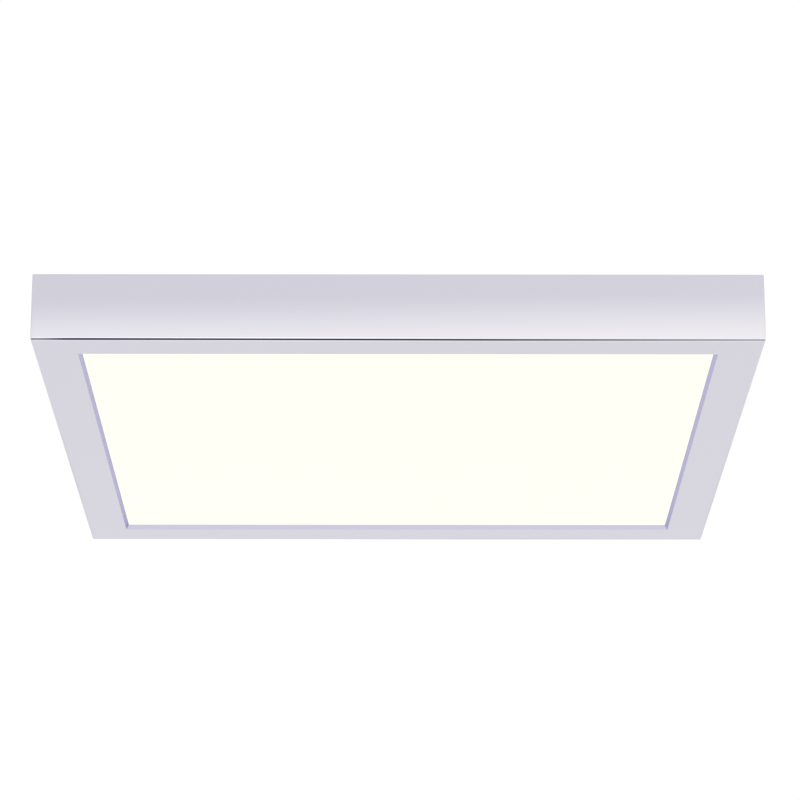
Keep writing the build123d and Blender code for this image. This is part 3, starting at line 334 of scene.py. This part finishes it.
def bezel_metal():
    """Bright folded sheet: a pale violet-grey polished tone, a painted highlight and painted dark reflection
    along the fold, a duller return round the opening with painted reflections of the lit diffuser, and an
    unpolished inside."""
    p = Paint("bezel_metal")
    x, y, z = p.split(p.coords)
    _, ny, nz = p.split(p.normal)
    reach = p.reach()

    polish_and_painted_light = p.mix(p.noise(9, 2.0), *POLISH)
    # painted highlight and painted dark reflection along the fold
    polish_and_painted_light = painted_fold_reflections(p, polish_and_painted_light, x, y, z, p.times(nz, -1.0))
    # the return's painted reflections of the lit diffuser, paler where it faces -Y
    on_return = p.times(p.below(reach, HALF_OPENING + 0.00001), p.below(z, RETURN_TOP + 0.0001))
    facing_front = p.below(ny, -0.5)
    polish_and_painted_light = p.mix(on_return, polish_and_painted_light, p.mix(facing_front, RETURN_SIDES_PAINTED_REFLECTION, RETURN_BACK_PAINTED_REFLECTION))

    behind_faces = p.times(
        p.below(reach, HALF_SIDE - SHEET + 0.00015),
        p.above(z, UNDERSIDE + SHEET - 0.00005),
    )
    inside = p.times(behind_faces, p.above(nz, -0.3))
    mill = p.mix(p.noise(70, 4.0), *MILL_GREY)

    fine = p.noise(1, 3.0, 0.6, (900, 900, 900))
    duller = p.plus(p.times(inside, 0.25), p.times(on_return, 0.28))
    crown = p.ramp(z, CROWN_START, UNDERSIDE + 0.0015, 0.0, CROWN_TILT)
    bent = p.vector("NORMALIZE", p.vector("ADD", p.normal, p.join(0.0, 0.0, crown)))
    p.set(
        Base_Color=p.mix(inside, polish_and_painted_light, mill),
        Metallic=1.0,
        Roughness=p.plus(p.spread(fine, 0.13, 0.17), duller),
        Normal=p.bump(fine, 0.000002, bent, 0.25),
    )
    return p


def lit_opal():
    """Opal acrylic with the light on: warm white, and even from edge to edge."""
    p = Paint("lit_opal")
    even = p.ramp(p.reach(), 0.120, 0.1715, 1.0, 0.985, smooth=True)
    grain = p.noise(1400, 2.0)
    p.set(
        Base_Color=p.mix(grain, (0.045, 0.045, 0.042), (0.055, 0.055, 0.05)),
        Roughness=p.spread(grain, 0.42, 0.5),
        Emission_Color=p.mix(even, (0.93, 0.93, 0.80), (0.97, 0.97, 0.82)),
        Emission_Strength=1.0,
        Specular_IOR_Level=0.15,
        Normal=p.bump(grain, 0.00001),
    )
    return p


dress(bezel_metal(), "bezel_frame")
dress(lit_opal(), "diffuser")

# ------------------------------------------------------------------ sheet parts and rails
ALUMINIUM = (0.80, 0.81, 0.82)

dress(zinc("pan_zinc", (0.66, 0.67, 0.69)), "back_pan", "pan_flanges")
dress(zinc("bracket_zinc", (0.72, 0.73, 0.745), 0.28, 130), "mounting_bracket")
for name in ("rail_left", "rail_right"):
    dress(drawn(name + "_aluminium", ALUMINIUM, 0.34, (2600, 9, 2600)), name)
for name in ("rail_front", "rail_back"):
    dress(drawn(name + "_aluminium", ALUMINIUM, 0.34, (9, 2600, 2600)), name)
spring_steel = drawn("spring_steel", (0.46, 0.465, 0.48), 0.27, (1800, 12, 1800))
dress(spring_steel, "leaf_spring_left", "leaf_spring_right")

# ------------------------------------------------------------------ hardware
dress(plated("screw_zinc", (0.74, 0.73, 0.71), 0.25), "pan_screws", "spring_screws", "driver_screws")
dress(plated("nut_zinc", (0.73, 0.70, 0.62), 0.3), "rail_nuts", "earth_nut")
dress(plated("stud_copper", (0.80, 0.52, 0.36), 0.3), "rail_studs")
dress(plated("stud_steel", (0.70, 0.69, 0.67), 0.28), "earth_stud", "earth_washer")
dress(plated("ring_tin", (0.80, 0.79, 0.77), 0.24), "earth_ring")
dress(plated("contact_brass", (0.84, 0.66, 0.33), 0.25), "terminal_contacts")
dress(plated("green_screw", (0.12, 0.42, 0.17), 0.32), "bracket_ground_screw")

# ------------------------------------------------------------------ plastics and rubbers
dress(plastic("driver_white", (0.83, 0.83, 0.82), 0.42), "driver_base", "driver_cover")
dress(plastic("terminal_white", (0.80, 0.80, 0.78), 0.38, 2000), "terminal_block")
dress(plastic("button_green", (0.07, 0.33, 0.09), 0.33), "button_earth")
dress(plastic("button_blue", (0.035, 0.15, 0.52), 0.33), "button_neutral")
dress(plastic("button_brown", (0.16, 0.065, 0.03), 0.33), "button_line")
dress(plastic("clip_nylon", (0.78, 0.77, 0.72), 0.4), "wire_clips")
dress(plastic("connector_nylon", (0.80, 0.77, 0.68), 0.4), "led_connectors", "driver_inlets")
dress(plastic("spacer_white", (0.86, 0.86, 0.85), 0.5), "guide_spacers")
dress(plastic("tape_grey", (0.45, 0.47, 0.50), 0.65, 900), "thermal_tape_left", "thermal_tape_right")
dress(plastic("film_white", (0.88, 0.88, 0.88), 0.35, 700), "reflector_film")
dress(rubber("grommet_rubber", (0.018, 0.018, 0.019), 0.6), "grommets")
dress(rubber("sleeve_white", (0.74, 0.74, 0.72), 0.42), "led_cable_left", "led_cable_right")
dress(rubber("sleeve_brown", (0.115, 0.045, 0.02), 0.36), "wire_line")
dress(rubber("sleeve_blue", (0.025, 0.105, 0.46), 0.36), "wire_neutral")


def earth_sleeve():
    """Green insulation with a yellow stripe along its upper and lower sides."""
    p = rubber("sleeve_green_yellow", (0.05, 0.29, 0.06), 0.36)
    level = p.size(p.split(p.normal)[2])
    bloom = p.noise(220, 4.0, 0.65)
    green = p.mix(bloom, (0.045, 0.27, 0.055), (0.07, 0.34, 0.08))
    yellow = p.mix(bloom, (0.80, 0.62, 0.03), (0.88, 0.70, 0.06))
    p.set(Base_Color=p.mix(p.ramp(level, 0.66, 0.70, smooth=True), green, yellow))
    return p


dress(earth_sleeve(), "wire_earth")


# ------------------------------------------------------------------ light engine
def board_mask():
    """A board's solder mask: white along its middle, and warmer over the copper along both edges."""
    p = Paint("led_board_mask")
    low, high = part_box("led_board_left")
    middle = (low.z + high.z) / 2
    from_middle = p.size(p.minus(p.split(p.coords)[2], middle))
    copper = p.ramp(from_middle, 0.0017, 0.0019)
    fine = p.noise(1800, 2.0)
    p.set(
        Base_Color=p.mix(p.times(copper, 0.5), (0.84, 0.84, 0.82), (0.74, 0.71, 0.62)),
        Roughness=p.spread(fine, 0.3, 0.4),
        Normal=p.bump(p.plus(fine, copper), 0.00002, p.soft_edge(0.0001)),
    )
    return p


def led_paint():
    """LED bodies: white shells with a yellow window, sunk in the face that shines into the light guide."""
    p = Paint("led_window")
    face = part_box("leds_right")[0].x
    x = p.split(p.coords)[0]
    out = p.size(x)
    facing_guide = p.below(p.times(p.split(p.normal)[0], p.math("SIGN", x)), -0.9)
    window = p.times(p.above(out, face + 0.00022), facing_guide, p.below(out, face + 0.0006))
    fine = p.noise(4000, 2.0)
    shell = p.mix(fine, (0.82, 0.82, 0.80), (0.88, 0.88, 0.86))
    p.set(
        Base_Color=p.mix(window, shell, (0.85, 0.62, 0.10)),
        Roughness=p.spread(fine, 0.32, 0.45),
        Emission_Color=p.mix(window, (0.0, 0.0, 0.0), (1.0, 0.9, 0.6)),
        Emission_Strength=1.0,
        Normal=p.bump(fine, 0.00001),
    )
    return p


def clear_guide():
    """Clear acrylic with a printed field of small white dots on its upper face."""
    p = Paint("guide_acrylic")
    dots = p.ramp(p.cells(420, "Distance"), 0.22, 0.28, 1.0, 0.0)
    printed = p.times(dots, p.above(p.split(p.normal)[2], 0.9))
    p.set(
        Base_Color=p.mix(printed, (0.90, 0.94, 0.95), (0.9, 0.9, 0.9)),
        Roughness=p.plus(p.times(printed, 0.4), 0.04),
        Transmission_Weight=p.minus(0.92, p.times(printed, 0.9)),
        IOR=1.49,
    )
    return p


def foam():
    """Soft black foam with open pores of two sizes."""
    p = Paint("foam_grey")
    pores = p.plus(p.cells(1500, "Distance"), p.times(p.cells(3800, "Distance"), 0.5))
    p.set(
        Base_Color=p.mix(pores, (0.012, 0.012, 0.014), (0.075, 0.075, 0.08)),
        Roughness=0.92,
        Normal=p.bump(pores, 0.0004),
    )
    return p


dress(board_mask(), "led_board_left", "led_board_right")
dress(led_paint(), "leds_left", "leds_right")
dress(clear_guide(), "light_guide")
dress(foam(), "foam_strips")


# ------------------------------------------------------------------ inside the driver
def circuit():
    """Green solder mask with copper tracks and tinned pads."""
    p = Paint("circuit_green")
    weave = p.add("ShaderNodeTexBrick", offset=0.5, offset_frequency=3)
    p.link(p.coords, weave.inputs["Vector"])
    p.link(260, weave.inputs["Scale"])
    p.link(0.09, weave.inputs["Mortar Size"])
    tracks = p.ramp(weave.outputs["Fac"], 0.4, 0.6)
    pads = p.ramp(p.cells(330, "Distance"), 0.16, 0.2, 1.0, 0.0)
    green = p.mix(tracks, (0.012, 0.115, 0.035), (0.03, 0.2, 0.06))
    p.set(
        Base_Color=p.mix(pads, green, (0.72, 0.70, 0.66)),
        Metallic=pads,
        Roughness=p.ramp(pads, 0.0, 1.0, 0.3, 0.35),
        Normal=p.bump(p.plus(tracks, pads), 0.00003),
    )
    return p


def chips():
    """Black moulded chips, and a bright heat sink that stands behind them."""
    p = Paint("chip_black")
    sink_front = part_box("driver_chips")[1].y - 0.002
    sink = p.above(p.split(p.coords)[1], sink_front)
    fine = p.noise(3000, 2.0)
    black = p.mix(fine, (0.012, 0.012, 0.013), (0.03, 0.03, 0.032))
    p.set(
        Base_Color=p.mix(sink, black, (0.72, 0.73, 0.74)),
        Metallic=sink,
        Roughness=p.spread(fine, 0.35, 0.5),
        Normal=p.bump(fine, 0.00001, p.soft_edge(0.0001)),
    )
    return p


def cans():
    """Electrolytic cans: a dark sleeve, and a bare aluminium top."""
    p = Paint("can_sleeve")
    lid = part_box("driver_capacitors")[1].z - 0.0004
    top = p.above(p.split(p.coords)[2], lid)
    fine = p.noise(2500, 2.0)
    sleeve = p.mix(fine, (0.012, 0.014, 0.03), (0.02, 0.024, 0.05))
    p.set(
        Base_Color=p.mix(top, sleeve, (0.80, 0.80, 0.81)),
        Metallic=top,
        Roughness=p.spread(fine, 0.26, 0.36),
        Normal=p.bump(fine, 0.00001),
    )
    return p


def windings(name, colour, stretch, metallic):
    """Tape or enamelled wire, laid turn beside turn."""
    p = Paint(name)
    wave = p.add("ShaderNodeTexWave", wave_type="BANDS", bands_direction="Z")
    p.link(p.scaled(stretch), wave.inputs["Vector"])
    p.link(1.0, wave.inputs["Scale"])
    p.link(0.6, wave.inputs["Distortion"])
    turns = wave.outputs["Fac"]
    # The darker part of each band is painted shade, in the groove between two turns.
    p.set(
        Base_Color=p.mix(turns, shade(colour, 0.35), colour),
        Metallic=metallic,
        Roughness=p.ramp(turns, 0.0, 1.0, 0.5, 0.28),
        Normal=p.bump(turns, 0.0002),
    )
    return p


def ferrite():
    """Pressed and fired ferrite: dark grey, matt and grainy."""
    p = Paint("ferrite_grey")
    fine = p.noise(1600, 4.0, 0.7)
    p.set(
        Base_Color=p.mix(fine, (0.025, 0.025, 0.028), (0.07, 0.07, 0.075)),
        Metallic=0.3,
        Roughness=p.spread(fine, 0.55, 0.75),
        Normal=p.bump(fine, 0.00006, p.soft_edge(0.0003)),
    )
    return p


dress(circuit(), "driver_circuit")
dress(chips(), "driver_chips")
dress(cans(), "driver_capacitors")
dress(windings("coil_tape", (0.72, 0.50, 0.06), (0, 0, 500), 0.0), "transformer_coil")
dress(windings("choke_wire", (0.62, 0.28, 0.12), (900, 900, 900), 0.4), "driver_choke")
dress(ferrite(), "transformer_core")

# ------------------------------------------------------------------ the thread that shows on the earth stud
THREAD_PITCH = 0.0007
THREAD_ROOT = 0.00185         # just inside the stud's own skin
THREAD_CREST = 0.00198
TURN_STEPS = 40
FADE_STEPS = 12               # the ridge rises and dies away over this many steps


def thread(name, middle, low, high, body, paint):
    """A screw thread round an upright stud: a ridge that climbs one pitch a turn."""
    bm = bmesh.new()
    count = round((high - low) / THREAD_PITCH * TURN_STEPS)
    rings = []
    for i in range(count + 1):
        angle = 2 * math.pi * i / TURN_STEPS
        rise = low + THREAD_PITCH * i / TURN_STEPS
        fade = min(1.0, i / FADE_STEPS, (count - i) / FADE_STEPS)
        crest = THREAD_ROOT + (THREAD_CREST - THREAD_ROOT) * fade
        ring = []
        for radius, offset in ((THREAD_ROOT, -0.42), (crest, -0.06), (crest, 0.06), (THREAD_ROOT, 0.42)):
            at = (
                middle.x + radius * math.cos(angle),
                middle.y + radius * math.sin(angle),
                rise + offset * THREAD_PITCH,
            )
            ring.append(bm.verts.new(at))
        rings.append(ring)
    for a, b in zip(rings, rings[1:]):
        for j in range(4):
            k = (j + 1) % 4
            bm.faces.new((a[j], b[j], b[k], a[k]))
    bm.faces.new(rings[0])
    bm.faces.new(reversed(rings[-1]))
    bmesh.ops.recalc_face_normals(bm, faces=bm.faces)
    for face in bm.faces:
        face.smooth = True
    mesh = bpy.data.meshes.new(name)
    bm.to_mesh(mesh)
    bm.free()
    piece = bpy.data.objects.new(name, mesh)
    bpy.context.scene.collection.objects.link(piece)
    dress(paint, piece)
    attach(piece, body)
    return piece


stud_low, stud_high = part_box("earth_stud")
nut_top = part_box("earth_nut")[1].z
thread_steel = plated("thread_steel", (0.66, 0.65, 0.63), 0.3)
stud_thread = thread(
    "earth_stud_thread",
    (stud_low + stud_high) / 2,
    nut_top + 0.0002,
    stud_high.z - 0.0004,
    "light",
    thread_steel,
)

# ------------------------------------------------------------------ floor and lamps
FLOOR_DEPTH = 2.6             # below the ceiling
FLOOR_REACH = 60.0


def paper_floor():
    """A plain pale floor, so wide that its edge lies at the horizon."""
    mesh = bpy.data.meshes.new("floor")
    bm = bmesh.new()
    bmesh.ops.create_grid(bm, x_segments=2, y_segments=2, size=FLOOR_REACH)
    bm.to_mesh(mesh)
    bm.free()
    floor = bpy.data.objects.new("floor", mesh)
    floor.location = (0, 0, -FLOOR_DEPTH)
    bpy.context.scene.collection.objects.link(floor)
    paper = Paint("floor_paper")
    paper.set(Base_Color=(0.93, 0.93, 0.935, 1.0), Roughness=1.0, Specular_IOR_Level=0.0)
    dress(paper, floor)


def lamp(name, at, side, power):
    """A large soft square lamp, aimed at the light, that doesn't show in reflections."""
    data = bpy.data.lights.new(name, "AREA")
    data.size = side
    data.energy = power
    made = bpy.data.objects.new(name, data)
    made.location = at
    made.rotation_mode = "QUATERNION"
    made.rotation_quaternion = (-Vector(at)).to_track_quat("-Z", "Y")
    made.visible_glossy = False
    bpy.context.scene.collection.objects.link(made)


paper_floor()
lamp("key", (-1.4, -1.6, 2.2), 1.6, 9.0)
lamp("fill", (2.2, 1.2, 1.6), 2.0, 3.0)

# ------------------------------------------------------------------ world
EVEN_LIGHT = ((0.985, 0.99, 1.0, 1), 0.93)    # colour and strength
WHITE_BACKDROP = ((1, 1, 1, 1), 1.02)
METAL_STRENGTH = 1.93
HORIZON_LEAN = 0.29                           # the bright band stands higher towards +X
LEAN_REACH = 0.12
# what polished metal sees at each height: brighter low above the horizon
ROOM_TONES = (
    (0.06, (0.640, 0.640, 0.635, 1)),
    (0.14, (0.592, 0.599, 0.5635, 1)),
    (0.225, (0.515, 0.526, 0.523, 1)),
    (0.285, (0.466, 0.473, 0.474, 1)),
    (0.31, (0.432, 0.436, 0.4465, 1)),
)


def studio_world():
    """A plain white studio: even light on the object, a white backdrop for the camera, and a soft
    gradient for polished metal to reflect."""
    world = bpy.data.worlds.new("studio")
    bpy.context.scene.world = world
    world.use_nodes = True
    world.cycles.sampling_method = "NONE"
    t = Tree(world.node_tree)

    def background(colour, strength):
        return t.feed(t.add("ShaderNodeBackground"), colour, strength).outputs[0]

    def choose(factor, a, b):
        return t.feed(t.add("ShaderNodeMixShader"), factor, a, b).outputs[0]

    x, _, z = t.split(t.add("ShaderNodeTexCoord").outputs["Generated"])
    lean = t.feed(t.add("ShaderNodeClamp"), x, -LEAN_REACH, LEAN_REACH).outputs[0]
    room = t.feed(t.add("ShaderNodeValToRGB"), t.minus(z, t.times(lean, HORIZON_LEAN)))
    stops = room.color_ramp.elements
    for place, tone in ROOM_TONES:
        stops.new(place).color = tone
    stops.remove(stops[0])
    stops.remove(stops[-1])

    rays = t.add("ShaderNodeLightPath").outputs
    seen_in_metal = background(room.outputs[0], METAL_STRENGTH)
    lit = choose(rays["Is Glossy Ray"], background(*EVEN_LIGHT), seen_in_metal)
    shown = choose(rays["Is Camera Ray"], lit, background(*WHITE_BACKDROP))
    t.feed(t.add("ShaderNodeOutputWorld"), shown)


studio_world()

# ------------------------------------------------------------------ camera
# fitted to the corners of the frame and its opening in the photograph
CAMERA_AT = (-0.0033, -1.8170, -0.6013)
CAMERA_PITCH = math.radians(18.128)           # upwards
CAMERA_YAW = math.radians(-0.149)
LENS = 149.83                                 # on a sensor 36 mm wide


def fitted_camera():
    data = bpy.data.cameras.new("camera")
    data.sensor_width = 36.0
    data.lens = LENS
    data.clip_start = 0.05
    data.clip_end = 300.0
    camera = bpy.data.objects.new("camera", data)
    right = Vector((math.cos(CAMERA_YAW), math.sin(CAMERA_YAW), 0.0))
    level = Vector((-math.sin(CAMERA_YAW), math.cos(CAMERA_YAW), 0.0))
    ahead = level * math.cos(CAMERA_PITCH) + Vector((0.0, 0.0, math.sin(CAMERA_PITCH)))
    turned = Matrix((right, right.cross(ahead), -ahead)).transposed()
    camera.matrix_world = Matrix.Translation(CAMERA_AT) @ turned.to_4x4()
    bpy.context.scene.collection.objects.link(camera)
    bpy.context.scene.camera = camera


fitted_camera()
bpy.context.scene.view_settings.view_transform = "Standard"
